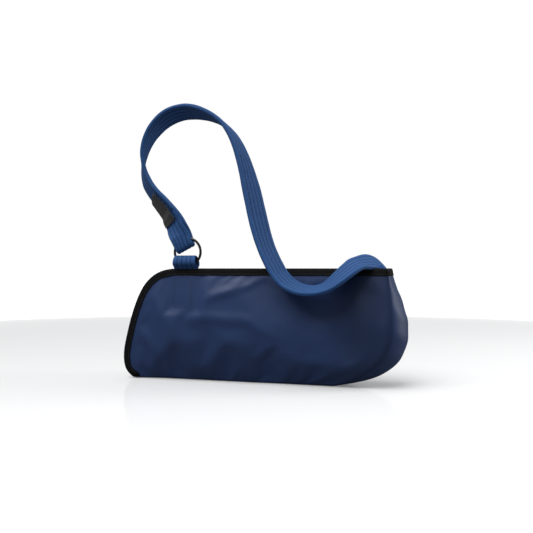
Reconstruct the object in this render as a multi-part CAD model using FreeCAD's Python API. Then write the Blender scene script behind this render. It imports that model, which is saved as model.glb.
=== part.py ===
import FreeCAD, Part

import math
import os

# Arm sling, in millimetres. X runs along the pouch from the open hand end (-X) to the elbow (+X),
# Y runs from the outer front panel (-Y) to the back panel (+Y), and Z is up from the surface it stands on.
# The model is laid out about the middle plane of the pouch and moved at the end, so that the origin is
# the middle of the bottom of its bounding box.

vector = FreeCAD.Vector

# Pouch
pouchHeight = 170.0
handTipX = -212.5
elbowTipX = 200.0
handEdge = [(-196, 1.2), (-208, 12), (-212.5, 30), (-207, 64), (-187, 126), (-174, 148.5), (-152, 165), (-126, 170)]
elbowEdge = [(116, 0.1), (128, 3.2), (142, 9.8), (168, 26.5), (190, 49), (200, 84), (198.5, 128), (195.5, 170)]
handHalfWidth = (27.0, 29.0)
elbowHalfWidth = (36.0, 25.0)
handBulge = 4.0
elbowBulge = 9.0
middleBulge = 5.0
mouthSlack = 3.0
gussetCrown = 21.0
gussetLipCrown = 1.5

# Laminated wall: smooth outer fabric, foam, soft lining
outerThickness = 1.2
foamThickness = 3.0
liningThickness = 0.8
wallThickness = outerThickness + foamThickness + liningThickness
layerGap = 0.05
seamGap = 0.4
gridColumns = 12
gridRows = 13
gussetRows = 17

# Binding tape folded over the edge of the mouth
bindingWidth = 10.0
bindingThickness = 0.9
bindingGap = 0.3

# Webbing keeper on the front panel and the round ring in it
webbingWidth = 38.0
keeperX = -109.5
keeperThickness = 1.6
ringCentre = (-107.0, 196.0)
ringRadius = 20.9
ringWireRadius = 1.9
ringPlaneY = -28.5
keeperRunningGap = 0.3
tailLength = 50.0
cornerNotch = (4.5, 7.0)

# Padded shoulder strap
strapThickness = 6.4
coverThickness = 1.0
foldInnerRadius = 2.4
freeEndThickness = 4.0
freeTipThickness = 2.6
foldCentre = (-113.5, 205.0)
foldLeft = 13.5
foldRight = 16.5
foldLean = 27.0
archTurn = 15.0
# x, y, z of the middle of the strap and its roll in degrees: 0 edge on, 90 flat to the front
strapRoute = [
    (-113.5, -22.9, 205.0, 90.0),
    (-119.0, -22.3, 218.5, 90.0),
    (-125.0, -22.0, 233.0, 64.0),
    (-139.5, -20.5, 256.0, 43.0),
    (-161.0, -18.0, 280.0, 30.0),
    (-180.5, -15.0, 305.5, 25.0),
    (-188.0, -13.0, 332.0, 11.0),
    (-186.0, -12.0, 356.0, -3.5),
    (-169.0, -12.0, 388.0, -20.0),
    (-144.0, -12.0, 407.5, -27.0),
    (-110.0, -14.0, 413.3, -21.5),
    (-79.0, -17.0, 405.8, -7.0),
    (-52.0, -20.5, 389.8, 7.0),
    (-33.0, -24.5, 366.0, 19.0),
    (-17.0, -29.0, 330.0, 29.0),
    (-4.0, -34.0, 287.0, 41.0),
    (6.5, -39.0, 247.0, 44.0),
    (20.0, -45.0, 205.0, 40.0),
    (34.0, -50.0, 176.8, 38.0),
    (52.0, -54.0, 153.0, 33.0),
    (72.0, -56.0, 141.7, 22.0),
    (92.0, -56.5, 139.5, 13.0),
    (108.0, -56.5, 143.3, 13.0),
    (121.0, -55.5, 151.0, 18.0),
    (132.0, -51.5, 160.5, 23.0),
    (141.0, -45.0, 168.8, 26.0),
    (149.0, -35.0, 175.3, 26.0),
    (157.0, -22.5, 179.0, 25.0),
    (165.0, -12.5, 181.0, 24.0),
    (172.5, -3.5, 179.9, 20.0),
    (179.5, 1.5, 176.0, 16.0),
]
sectionsPerRun = 2
anchorThickness = 4.0
swingStart = (-107.0, -28.5, 181.0)
swingEnd = (170.0, -14.0, 180.0)
splitX = 179.0
splitGap = 0.4

# Hook and loop fastening, given as lengths along the strap from the fold
freeEndSpan = (3.0, 52.0)
hookTabSpan = (41.0, 95.0)
loopPatchSpan = (58.0, 98.0)
hookTapeWidth = 25.0
hookTapeShift = 4.0
hookTabThickness = 2.0
loopPatchThickness = 0.8


def splineThrough(points):
    curve = Part.BSplineCurve()
    curve.interpolate([vector(*p) for p in points])
    return curve


def alongCurve(curve, share):
    span = curve.length()
    return curve.value(curve.parameterAtDistance(span * share, curve.FirstParameter))


handCurve = splineThrough([(x, 0, z) for x, z in handEdge])
elbowCurve = splineThrough([(x, 0, z) for x, z in elbowEdge])


def halfWidth(x, z):
    """Half the outer width of the pouch at a place on its side."""
    along = min(1.0, max(0.0, (x - handTipX) / (elbowTipX - handTipX)))
    rise = min(1.0, max(0.0, z / pouchHeight))
    swell = math.sin(math.pi * rise)
    hand = handHalfWidth[0] * (1 - rise) + handHalfWidth[1] * rise + handBulge * swell
    elbow = elbowHalfWidth[0] * (1 - rise) + elbowHalfWidth[1] * rise + elbowBulge * swell
    middle = math.sin(math.pi * along)
    return hand * (1 - along) + elbow * along + middleBulge * middle * swell + mouthSlack * middle * rise


def sidePlace(across, up):
    """A place on the side of the pouch: across from the hand edge to the elbow edge, and up its edges."""
    left = alongCurve(handCurve, up)
    right = alongCurve(elbowCurve, up)
    return left * (1 - across) + right * across


def gridSurface(grid):
    surface = Part.BSplineSurface()
    surface.interpolate(grid)
    return surface


def slab(outerGrid, innerGrid):
    """A closed solid between two surfaces through grids of points."""
    outer = gridSurface(outerGrid)
    inner = gridSurface(innerGrid)
    faces = [outer.toShape(), inner.toShape()]
    u0, u1, v0, v1 = outer.bounds()
    a0, a1, b0, b1 = inner.bounds()
    rims = [
        (outer.uIso(u0), inner.uIso(a0)),
        (outer.uIso(u1), inner.uIso(a1)),
        (outer.vIso(v0), inner.vIso(b0)),
        (outer.vIso(v1), inner.vIso(b1)),
    ]
    for first, second in rims:
        faces.append(Part.makeRuledSurface(first.toShape(), second.toShape()))
    return closedSolid(faces)


def closedSolid(faces):
    shell = Part.makeShell(faces)
    shell.sewShape()
    solid = Part.makeSolid(shell)
    solid.fix(0.001, 0.001, 0.001)
    if solid.Volume < 0:
        solid.reverse()
    return solid


def steps(count):
    return [i / (count - 1) for i in range(count)]


def panelLayer(side, depth, thickness):
    """One layer of the front (side -1) or back (side +1) panel."""
    grids = []
    for inset in (depth, depth + thickness):
        grid = []
        for up in steps(gridRows):
            row = []
            for across in steps(gridColumns):
                p = sidePlace(across, up)
                row.append(vector(p.x, side * (halfWidth(p.x, p.z) - inset), p.z))
            grid.append(row)
        grids.append(grid)
    return slab(*grids)


def elbowNormal(up):
    before = alongCurve(elbowCurve, max(0.0, up - 0.01))
    after = alongCurve(elbowCurve, min(1.0, up + 0.01))
    run = (after - before).normalize()
    return vector(run.z, 0, -run.x)


def elbowPlace(up, across, depth):
    """A place on the elbow end: up its edge, across from front (-1) to back (+1), and in by a depth."""
    edge = alongCurve(elbowCurve, up)
    crown = gussetCrown * abs(math.sin(math.pi * up)) ** 1.3 + gussetLipCrown * up
    reach = halfWidth(edge.x, edge.z) - wallThickness - seamGap
    outward = elbowNormal(up) * (crown * (1 - across * across) - depth)
    return vector(edge.x + outward.x, across * reach, edge.z + outward.z)


def elbowLayer(depth, thickness):
    grids = []
    for inset in (depth, depth + thickness):
        grid = []
        for up in steps(gussetRows):
            grid.append([elbowPlace(up, 2 * t - 1, inset) for t in steps(7)])
        grids.append(grid)
    return slab(*grids)


def bottomLayer(startX, low, thickness):
    """One flat layer of the bottom, between the front and back panels."""
    endX = elbowEdge[0][0] - 1.5
    corners = []
    for x, side in ((startX, -1), (endX, -1), (endX, 1), (startX, 1)):
        reach = halfWidth(x, 0) - wallThickness - seamGap
        corners.append(vector(x, side * reach, low))
    face = Part.Face(Part.makePolygon(corners + corners[:1]))
    return face.extrude(vector(0, 0, thickness))


def loftThrough(sections):
    return Part.makeLoft([Part.makePolygon(s + s[:1]) for s in sections], True, True)


def bindingSection(edge, inward, side):
    """A folded tape over the panel's edge, in the plane of its inward direction and Y."""
    stand = bindingGap
    top = bindingGap + bindingThickness
    places = [
        (bindingWidth, stand),
        (bindingWidth, top),
        (-top, top),
        (-top, -wallThickness - top),
        (bindingWidth, -wallThickness - top),
        (bindingWidth, -wallThickness - stand),
        (-stand, -wallThickness - stand),
        (-stand, stand),
    ]
    points = []
    for along, out in places:
        x = edge.x + inward.x * along
        z = edge.z + inward.z * along
        inside = max(along, 0.0)
        width = halfWidth(edge.x + inward.x * inside, edge.z + inward.z * inside)
        points.append(vector(x, side * (width + out), z))
    return points


def panelBinding(side):
    """The tape along the top of a panel and down round its hand end."""
    sections = []
    lipStart = handEdge[-1][0]
    lipEnd = elbowEdge[-1][0] - bindingThickness
    for share in steps(14):
        x = lipEnd + (lipStart - lipEnd) * share
        sections.append(bindingSection(vector(x, 0, pouchHeight), vector(0, 0, -1), side))
    for share in steps(26)[1:-1]:
        up = 1 - share
        before = alongCurve(handCurve, min(1.0, up + 0.01))
        after = alongCurve(handCurve, max(0.0, up - 0.01))
        run = (after - before).normalize()
        sections.append(bindingSection(alongCurve(handCurve, up), vector(-run.z, 0, run.x), side))
    return loftThrough(sections)


def cornerRoom(side):
    """The space that the elbow end takes from the inner leg of a panel's tape."""
    lip = elbowEdge[-1][0]
    reach = side * (halfWidth(lip, pouchHeight) - wallThickness)
    low = min(reach + 2 * side, reach - 3 * side)
    high = max(reach + 2 * side, reach - 3 * side)
    room = box(lip - wallThickness - 2.5, lip + 3, low, high, pouchHeight - 20, pouchHeight + 2)
    return room


def elbowBinding():
    """The tape over the lip of the elbow end."""
    sections = []
    low = 1 - bindingWidth / elbowCurve.length()
    near = bindingGap
    far = bindingGap + bindingThickness

    def above(across, depth, lift):
        lip = elbowPlace(1.0, across, depth)
        run = (lip - elbowPlace(0.97, across, depth)).normalize()
        return lip + run * lift

    for share in steps(9):
        across = 0.96 * (2 * share - 1)
        section = [
            elbowPlace(low, across, -near),
            elbowPlace(low, across, -far),
            above(across, -far, far),
            above(across, wallThickness + far, far),
            elbowPlace(low, across, wallThickness + far),
            elbowPlace(low, across, wallThickness + near),
            above(across, wallThickness + near, near),
            above(across, -near, near),
        ]
        level = elbowPlace(1.0, across, 0).y
        sections.append([vector(p.x, level, p.z) for p in section])
    return loftThrough(sections)


def bottomBinding():
    """The tape along the bottom of the hand end, with its lower leg level with the bottom fabric."""
    startX = handEdge[0][0]
    endX = startX + bindingWidth
    reach = halfWidth(startX, 0) - wallThickness - seamGap
    profile = [
        (endX, 0.1),
        (endX, 0.1 + bindingThickness),
        (startX, 0.1 + bindingThickness),
        (startX, wallThickness + layerGap),
        (endX, wallThickness + layerGap),
        (endX, wallThickness + layerGap + bindingThickness),
        (startX - bindingThickness, wallThickness + layerGap + bindingThickness),
        (startX - bindingThickness, 0.1),
    ]
    points = [vector(x, -reach, z) for x, z in profile]
    face = Part.Face(Part.makePolygon(points + points[:1]))
    return face.extrude(vector(0, 2 * reach, 0))


def box(lowX, highX, lowY, highY, lowZ, highZ):
    return Part.makeBox(highX - lowX, highY - lowY, highZ - lowZ, vector(lowX, lowY, lowZ))


def keeperLoop():
    """The webbing loop standing on the edge: a round sleeve that the ring passes through."""
    inner = ringRadius - (ringCentre[1] - keeperAxisZ()) + ringWireRadius + keeperRunningGap
    outer = inner + keeperThickness
    left = keeperX - webbingWidth / 2
    base = vector(left, ringPlaneY, keeperAxisZ())
    along = vector(1, 0, 0)
    sleeve = Part.makeCylinder(outer, webbingWidth, base, along)
    sleeve = sleeve.cut(Part.makeCylinder(inner, webbingWidth, base, along))
    cutWidth, cutDrop = cornerNotch
    top = keeperAxisZ() + outer
    for x in (left, left + webbingWidth - cutWidth):
        notch = box(x, x + cutWidth, ringPlaneY - outer, ringPlaneY + outer, top - cutDrop, top + 1)
        sleeve = sleeve.cut(notch)
    return sleeve


def keeperAxisZ():
    return 181.0


def keeperTails():
    """The two ends of the keeper, sewn one on the other and pressed into the foam behind the outer fabric."""
    tails = []
    left = keeperX - webbingWidth / 2 + 0.5
    right = keeperX + webbingWidth / 2 - 0.5
    each = (foamThickness - 0.5) / 2
    for depth in (outerThickness + 0.2, outerThickness + 0.3 + each):
        grids = []
        for inset in (depth, depth + each):
            grid = []
            for up in steps(5):
                z = pouchHeight - tailLength + up * (tailLength - 0.6)
                row = []
                for share in steps(5):
                    x = left + (right - left) * share
                    row.append(vector(x, inset - halfWidth(x, z), z))
                grid.append(row)
            grids.append(grid)
        tails.append(slab(*grids))
    return Part.makeCompound(tails)


def keeperSlot():
    """The opening in the folded edge of the binding, where the keeper comes out."""
    half = webbingWidth / 2 + 0.2
    front = layerGap - halfWidth(keeperX, pouchHeight) + 0.4
    return box(keeperX - half, keeperX + half, front, front + wallThickness - 0.9, pouchHeight - 1, pouchHeight + 5)


def ring():
    centre = vector(ringCentre[0], ringPlaneY, ringCentre[1])
    return Part.makeTorus(ringRadius, ringWireRadius, centre, vector(0, 1, 0))


class StrapLine:
    """The middle line of the strap, with its travel, width and outer face directions."""

    def __init__(self):
        self.curve = splineThrough([(x, y, z) for x, y, z, roll in strapRoute])
        self.places = [self.curve.parameter(vector(x, y, z)) for x, y, z, roll in strapRoute]
        self.length = self.curve.length()

    def distance(self, parameter):
        first = self.curve.FirstParameter
        return self.curve.length(first, parameter) if parameter > first else 0.0

    def roll(self, parameter):
        for i in range(len(self.places) - 1):
            low, high = self.places[i], self.places[i + 1]
            if parameter <= high or i == len(self.places) - 2:
                share = min(1.0, max(0.0, (parameter - low) / (high - low)))
                return strapRoute[i][3] * (1 - share) + strapRoute[i + 1][3] * share

    def frame(self, parameter):
        """Middle, travel, width and outer directions at a place on the line."""
        middle = self.curve.value(parameter)
        travel = vector(*self.curve.tangent(parameter)[0]).normalize()
        turn = math.radians(archTurn) * min(1.0, self.distance(parameter) / 80.0)
        depth = vector(-math.sin(turn), math.cos(turn), 0)
        depth = (depth - travel * depth.dot(travel)).normalize()
        side = travel.cross(depth)
        roll = math.radians(self.roll(parameter))
        width = depth * math.cos(roll) + side * math.sin(roll)
        outward = side * math.cos(roll) - depth * math.sin(roll)
        return middle, travel, width, outward

    def at(self, distance):
        return self.frame(self.curve.parameterAtDistance(distance, self.curve.FirstParameter))

    def parameters(self):
        found = []
        for low, high in zip(self.places, self.places[1:]):
            found += [low + (high - low) * i / sectionsPerRun for i in range(sectionsPerRun)]
        return found + [self.places[-1]]


def strapSection(middle, width, outward, left, right, half):
    """A flat section with cut corners. left is the reach along width, and right is against it."""
    cut = min(2.0, half * 0.6)
    places = [
        (left, half - cut),
        (left - cut, half),
        (cut - right, half),
        (-right, half - cut),
        (-right, cut - half),
        (cut - right, -half),
        (left - cut, -half),
        (left, cut - half),
    ]
    return [middle + width * a + outward * b for a, b in places]


def foldFrames():
    """The turn of the strap round the ring, from its free side to its main side."""
    lean = math.radians(foldLean)
    upward = vector(-math.sin(lean), 0, math.cos(lean))
    width = upward.cross(vector(0, 1, 0))
    centre = vector(foldCentre[0], ringPlaneY, foldCentre[1])
    frames = []
    for share in steps(10):
        angle = math.pi * (1 - share)
        thickness = freeEndThickness + (strapThickness - freeEndThickness) * share
        radius = foldInnerRadius + thickness / 2
        radial = vector(0, math.cos(angle), 0) - upward * math.sin(angle)
        frames.append((centre + radial * radius, width, radial, thickness))
    return frames, upward, width, centre


def strapSections(shrink):
    """Sections of the strap from its turn round the ring to the elbow end, smaller all round by shrink."""
    line = StrapLine()
    frames, upward, width, centre = foldFrames()
    sections = []
    lead = centre + vector(0, -(foldInnerRadius + freeEndThickness / 2), 0) + upward * 2.0
    half = webbingWidth / 2
    for middle, radial, thickness in [(lead, vector(0, -1, 0), freeEndThickness)] + [
        (m, r, t) for m, w, r, t in frames
    ]:
        sections.append(
            strapSection(middle, width, radial * -1, foldLeft - shrink, foldRight - shrink, thickness / 2 - shrink)
        )
    for parameter in line.parameters()[1:]:
        middle, travel, across, outward = line.frame(parameter)
        spread = min(1.0, line.distance(parameter) / 45.0)
        left = foldLeft + (half - foldLeft) * spread - shrink
        right = foldRight + (half - foldRight) * spread - shrink
        sections.append(strapSection(middle, across, outward, left, right, strapThickness / 2 - shrink))
    return sections


def strapCore():
    return loftThrough(strapSections(coverThickness))


def strapCover():
    """The ribbed sleeve round the core, open at both ends."""
    outerSections = strapSections(0.0)
    innerSections = strapSections(coverThickness)
    outerWires = [Part.makePolygon(s + s[:1]) for s in outerSections]
    innerWires = [Part.makePolygon(s + s[:1]) for s in innerSections]
    faces = list(Part.makeLoft(outerWires, False, True).Faces)
    faces += list(Part.makeLoft(innerWires, False, True).Faces)
    for end in (0, -1):
        faces.append(Part.Face(outerWires[end]).cut(Part.Face(innerWires[end])).Faces[0])
    return closedSolid(faces)


def stripAlongStrap(line, stops, left, right):
    """A thin strip lying over the strap: stops are (length from the fold, lift of its underside, thickness)."""
    sections = []
    for length, lift, thickness in stops:
        middle, travel, across, outward = line.at(length)
        base = middle + outward * (strapThickness / 2 + lift + thickness / 2)
        sections.append(
            [
                base + across * left + outward * (thickness / 2),
                base - across * right + outward * (thickness / 2),
                base - across * right - outward * (thickness / 2),
                base + across * left - outward * (thickness / 2),
            ]
        )
    return loftThrough(sections)


def ringLift(length):
    """Room for the ring's wire between the two layers, closing above the ring."""
    closed = 0.8
    return closed + (2 * foldInnerRadius + 0.6 - closed) * max(0.0, 1 - max(0.0, length - 16.0) / 22.0)


def freeEnd(line):
    half = webbingWidth / 2
    start, end = freeEndSpan
    sections = []
    for share in steps(9):
        length = start + (end - start) * share
        thickness = freeEndThickness + (freeTipThickness - freeEndThickness) * share
        middle, travel, across, outward = line.at(length)
        base = middle + outward * (strapThickness / 2 + ringLift(length) + thickness / 2)
        spread = min(1.0, length / 45.0)
        left = foldLeft + (half - foldLeft) * spread
        right = foldRight + (half - foldRight) * spread
        sections.append(strapSection(base, across, outward, left, right, thickness / 2))
    return loftThrough(sections)


def hookTab(line):
    start, end = hookTabSpan
    tip = freeEndSpan[1]
    over = 0.8 + freeTipThickness + 0.5
    flat = loopPatchThickness + 0.7
    stops = [
        (start, over, hookTabThickness),
        (tip, over, hookTabThickness),
        (tip + 4, over * 0.75, hookTabThickness),
        (tip + 9, flat, hookTabThickness),
    ]
    stops += [(tip + 9 + (end - tip - 9) * share, flat, hookTabThickness) for share in steps(5)[1:]]
    half = hookTapeWidth / 2
    return stripAlongStrap(line, stops, half + hookTapeShift, half - hookTapeShift)


def loopPatch(line):
    start, end = loopPatchSpan
    stops = [(start + (end - start) * share, 0.3, loopPatchThickness) for share in steps(9)]
    half = hookTapeWidth / 2
    return stripAlongStrap(line, stops, half + hookTapeShift, half - hookTapeShift)


def anchorDepth():
    return wallThickness + bindingThickness + bindingGap + 2 * layerGap


def beyondSplit(side, gap):
    """The space on one side of the plane that parts the swinging strap from its sewn end.

    The plane is square to the line that the strap swings about, so turning never closes the gap."""
    swing = (vector(*swingEnd) - vector(*swingStart)).normalize()
    space = Part.makeBox(60, 120, 120, vector(0, -60, -60))
    if side < 0:
        space.translate(vector(-60, 0, 0))
    turn = FreeCAD.Rotation(vector(1, 0, 0), swing)
    space.Placement = FreeCAD.Placement(vector(0, 0, 0), turn).multiply(space.Placement)
    along = (splitX - swingStart[0]) / swing.x
    space.translate(vector(*swingStart) + swing * (along + side * gap))
    return space


def anchorTailSolid():
    """The sewn end of the strap, lying on the inside of the elbow end."""
    half = webbingWidth / 2 - 0.5
    grids = []
    for inset in (anchorDepth(), anchorDepth() + anchorThickness):
        grid = []
        for up in steps(6):
            rise = 0.73 + 0.21 * up
            edge = alongCurve(elbowCurve, rise)
            reach = half / (halfWidth(edge.x, edge.z) - wallThickness - seamGap)
            grid.append([elbowPlace(rise, reach * (2 * t - 1), inset) for t in steps(5)])
        grids.append(grid)
    return slab(*grids)


def anchorBendSolid():
    """The strap between its loose part and its sewn end: it turns down over the lip of the elbow end."""
    half = webbingWidth / 2 - 1.6
    line = StrapLine()
    end, endTravel, endAcross = line.frame(line.places[-1])[:3]
    lowDepth = anchorDepth() + anchorThickness / 2 + 2.4
    high = elbowPlace(0.955, 0, lowDepth)
    level = vector(0, 1, 0)
    start = end + endTravel * 0.5
    knee = start + endTravel * 4.0 + vector(0, 0, -0.8)
    crest = vector((knee.x + high.x) / 2 + 0.6, 0.5, (knee.z + high.z) / 2 + 1.2)
    stops = [
        (start, endAcross, endTravel, strapThickness),
        (knee, endAcross * 0.7 + level * 0.3, endTravel + vector(0.2, 0, -0.3), 5.4),
        (crest, endAcross * 0.3 + level * 0.7, vector(0.6, 0.1, -0.8), 4.6),
        (high, level, vector(0.1, 0, -1), anchorThickness),
    ]
    sections = []
    for centre, width, travel, thickness in stops:
        travel = travel.normalize()
        width = (width - travel * width.dot(travel)).normalize()
        outward = travel.cross(width)
        sections.append(strapSection(centre, width, outward, half, half, thickness / 2))
    return loftThrough(sections)


def keeperStitches():
    """The box of stitches that holds the keeper's ends, on the outer fabric."""
    left = keeperX - webbingWidth / 2 + 4
    right = keeperX + webbingWidth / 2 - 10
    low = pouchHeight - tailLength + 4
    high = pouchHeight - bindingWidth - 3
    corners = [(left, low), (right, low), (right, high), (left, high)]
    solids = []
    for (x0, z0), (x1, z1) in zip(corners, corners[1:] + corners[:1]):
        count = int(max(abs(x1 - x0), abs(z1 - z0)) / 4)
        for i in range(count):
            x = x0 + (x1 - x0) * (i + 0.5) / count
            z = z0 + (z1 - z0) * (i + 0.5) / count
            run = vector(x1 - x0, 0, z1 - z0).normalize()
            start = vector(x, -halfWidth(x, z) - 0.5, z) - run * 1.3
            solids.append(Part.makeCylinder(0.3, 2.6, start, run))
    return Part.makeCompound(solids)


def anchorStitches():
    """The box of stitches that holds the strap's end to the elbow end."""
    inside = anchorDepth() + anchorThickness + 0.9
    solids = []
    for across in (-0.55, 0.55):
        for up in steps(8):
            a = elbowPlace(0.735 + 0.19 * up, across, inside)
            b = elbowPlace(0.735 + 0.19 * up + 0.011, across, inside)
            solids.append(Part.makeCylinder(0.3, (b - a).Length, a, b - a))
    for up in (0.735, 0.925):
        for share in steps(8)[1:-1]:
            a = elbowPlace(up, -0.55 + 1.1 * share, inside)
            solids.append(Part.makeCylinder(0.3, 2.6, a - vector(0, 1.3, 0), vector(0, 1, 0)))
    return Part.makeCompound(solids)


def tabStitches(line):
    """The stitches that hold the hook tab on the strap's free end."""
    start = hookTabSpan[0]
    tip = freeEndSpan[1]
    lift = strapThickness / 2 + 0.8 + freeTipThickness + 0.5 + hookTabThickness + 0.35
    half = hookTapeWidth / 2 - 2.0
    solids = []
    for length in (start + 2, tip - 2):
        middle, travel, across, outward = line.at(length)
        for share in steps(6):
            place = middle + across * (hookTapeShift + half * (2 * share - 1)) + outward * lift
            solids.append(Part.makeCylinder(0.3, 2.6, place - across * 1.3, across))
    return Part.makeCompound(solids)


def build():
    line = StrapLine()
    layers = [
        ("outer", 0.0, outerThickness),
        ("foam", outerThickness + layerGap, foamThickness - 2 * layerGap),
        ("lining", outerThickness + foamThickness, liningThickness),
    ]
    bottomStart = handEdge[0][0]
    nodes = {}
    for name, depth, thickness in layers:
        nodes["front_panel_" + name] = panelLayer(-1, depth, thickness)
        nodes["back_panel_" + name] = panelLayer(1, depth, thickness)
        nodes["elbow_gusset_" + name] = elbowLayer(depth, thickness)
        start = bottomStart + (bindingWidth + 0.1 if name == "outer" else 0.1)
        nodes["bottom_gusset_" + name] = bottomLayer(start, depth, thickness)
    nodes["front_binding"] = panelBinding(-1).cut(keeperSlot()).cut(cornerRoom(-1))
    nodes["back_binding"] = panelBinding(1).cut(cornerRoom(1))
    nodes["elbow_binding"] = elbowBinding().cut(nodes["elbow_gusset_outer"])
    nodes["bottom_binding"] = bottomBinding()
    nodes["keeper_loop"] = keeperLoop()
    nodes["keeper_tails"] = keeperTails()
    nodes["keeper_stitches"] = keeperStitches()
    nodes["ring"] = ring()
    nodes["strap_core"] = strapCore().cut(beyondSplit(1, -splitGap))
    nodes["strap_cover"] = strapCover().cut(beyondSplit(1, -splitGap))
    nodes["strap_free_end"] = freeEnd(line)
    nodes["hook_tab"] = hookTab(line)
    nodes["hook_tab_stitches"] = tabStitches(line)
    nodes["loop_patch"] = loopPatch(line)
    nodes["strap_anchor_tail"] = anchorTailSolid()
    nodes["strap_anchor_bend"] = anchorBendSolid().cut(beyondSplit(-1, -splitGap))
    nodes["anchor_stitches"] = anchorStitches()
    return nodes


def main():
    nodes = build()
    os.makedirs("parts", exist_ok=True)
    whole = FreeCAD.BoundBox()
    for shape in nodes.values():
        whole.add(shape.optimalBoundingBox(False, False))
    shift = vector(-whole.Center.x, -whole.Center.y, -whole.ZMin)
    for name in sorted(nodes):
        shape = nodes[name]
        shape.translate(shift)
        shape.exportStep("parts/" + name + ".step")
        print(name, "solids", len(shape.Solids), "volume", round(shape.Volume), "valid", shape.isValid())
    print("shift", [round(s, 3) for s in shift])
    print("size", [round(s, 1) for s in (whole.XLength, whole.YLength, whole.ZLength)])


main()
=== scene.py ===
import math

import bpy
import numpy as np
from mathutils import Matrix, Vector


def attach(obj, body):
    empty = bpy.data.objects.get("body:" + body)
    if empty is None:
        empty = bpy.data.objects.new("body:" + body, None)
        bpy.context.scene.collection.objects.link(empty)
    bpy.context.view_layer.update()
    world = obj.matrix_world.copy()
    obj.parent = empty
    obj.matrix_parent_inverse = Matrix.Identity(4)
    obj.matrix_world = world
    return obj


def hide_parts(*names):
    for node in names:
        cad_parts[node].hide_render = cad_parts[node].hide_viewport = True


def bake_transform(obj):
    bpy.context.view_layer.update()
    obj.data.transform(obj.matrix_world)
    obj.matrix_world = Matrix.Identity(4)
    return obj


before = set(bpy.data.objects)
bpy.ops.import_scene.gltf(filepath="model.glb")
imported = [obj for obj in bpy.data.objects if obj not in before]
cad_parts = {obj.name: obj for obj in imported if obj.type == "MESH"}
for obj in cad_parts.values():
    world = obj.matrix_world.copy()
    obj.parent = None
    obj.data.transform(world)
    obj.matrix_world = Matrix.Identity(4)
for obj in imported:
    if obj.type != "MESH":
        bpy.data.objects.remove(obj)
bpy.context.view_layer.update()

print("frame loaded")

# The pouch is laid out in millimetres about its middle plane; this moves it to the frame, in metres.
layout = {"moveX": -3.471, "moveY": 16.246, "mm": 0.001}


def toFrame(points):
    points = np.asarray(points, float) + np.array([layout["moveX"], layout["moveY"], 0.0])
    return points * layout["mm"]


def unit(vectors):
    vectors = np.asarray(vectors, float)
    return vectors / np.maximum(np.linalg.norm(vectors, axis=-1, keepdims=True), 1e-9)


class SmoothLine:
    # A natural cubic line through given points, read by the length along it.

    def __init__(self, points):
        p = np.asarray(points, float)
        t = np.concatenate([[0], np.cumsum(np.linalg.norm(np.diff(p, axis=0), axis=1))])
        n = len(t)
        h = np.diff(t)
        a = np.eye(n)
        r = np.zeros_like(p)
        for i in range(1, n - 1):
            a[i, i - 1], a[i, i], a[i, i + 1] = h[i - 1], 2 * (h[i - 1] + h[i]), h[i]
            r[i] = 6 * ((p[i + 1] - p[i]) / h[i] - (p[i] - p[i - 1]) / h[i - 1])
        self.p, self.t, self.h, self.m = p, t, h, np.linalg.solve(a, r)
        fine = np.linspace(0, t[-1], 1200)
        steps = np.linalg.norm(np.diff(self.raw(fine), axis=0), axis=1)
        self.fine = fine
        self.lengths = np.concatenate([[0], np.cumsum(steps)])
        self.length = self.lengths[-1]
        self.stations = np.interp(t, fine, self.lengths)

    def raw(self, s):
        s = np.asarray(s, float)
        k = np.clip(np.searchsorted(self.t, s, side="right") - 1, 0, len(self.h) - 1)
        h = self.h[k][..., None]
        left = (self.t[k + 1] - s)[..., None]
        right = (s - self.t[k])[..., None]
        value = (self.m[k] * left**3 + self.m[k + 1] * right**3) / (6 * h)
        value += (self.p[k] / h - self.m[k] * h / 6) * left + (self.p[k + 1] / h - self.m[k + 1]
                                                               * h / 6) * right
        return value

    def at(self, length):
        return self.raw(np.interp(np.clip(length, 0, self.length), self.lengths, self.fine))

    def along(self, length):
        return unit(self.at(np.asarray(length) + 0.4) - self.at(np.asarray(length) - 0.4))


# shape of the pouch

pouch = {
    "height": 170.0, "handTip": -212.5, "elbowTip": 200.0,
    "handEdge": [(-196, 1.2), (-208, 12), (-212.5, 30), (-207, 64), (-187, 126), (-174, 148.5),
                 (-152, 165), (-126, 170)],
    "elbowEdge": [(116, 0.1), (128, 3.2), (142, 9.8), (168, 26.5), (190, 49), (200, 84), (198.5, 128),
                  (195.5, 170)],
    "handWidth": (27.0, 29.0), "elbowWidth": (36.0, 25.0),
    "handBulge": 4.0, "elbowBulge": 9.0, "middleBulge": 5.0, "mouthSlack": 3.0,
    "endCrown": 21.0, "lipCrown": 1.5,
    "wall": 5.0, "outer": 1.2, "foam": 2.8, "lining": 0.8,
    "columns": 96, "rows": 42, "stripColumns": 20,
}

handLine = SmoothLine([(x, 0, z) for x, z in pouch["handEdge"]])
elbowLine = SmoothLine([(x, 0, z) for x, z in pouch["elbowEdge"]])


def halfWidth(x, z):
    along = np.clip((x - pouch["handTip"]) / (pouch["elbowTip"] - pouch["handTip"]), 0, 1)
    rise = np.clip(z / pouch["height"], 0, 1)
    swell = np.sin(np.pi * rise)
    hand = pouch["handWidth"][0] * (1 - rise) + pouch["handWidth"][1] * rise + pouch["handBulge"] * swell
    elbow = pouch["elbowWidth"][0] * (1 - rise) + pouch["elbowWidth"][1] * rise + pouch["elbowBulge"] * swell
    middle = np.sin(np.pi * along)
    return hand * (1 - along) + elbow * along + pouch["middleBulge"] * middle * swell + pouch["mouthSlack"] * middle * rise


def panelPlace(across, up, side):
    left = handLine.at(up * handLine.length)
    right = elbowLine.at(up * elbowLine.length)
    p = left * (1 - across[:, None]) + right * across[:, None]
    p[:, 1] = side * halfWidth(p[:, 0], p[:, 2])
    return p


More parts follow.
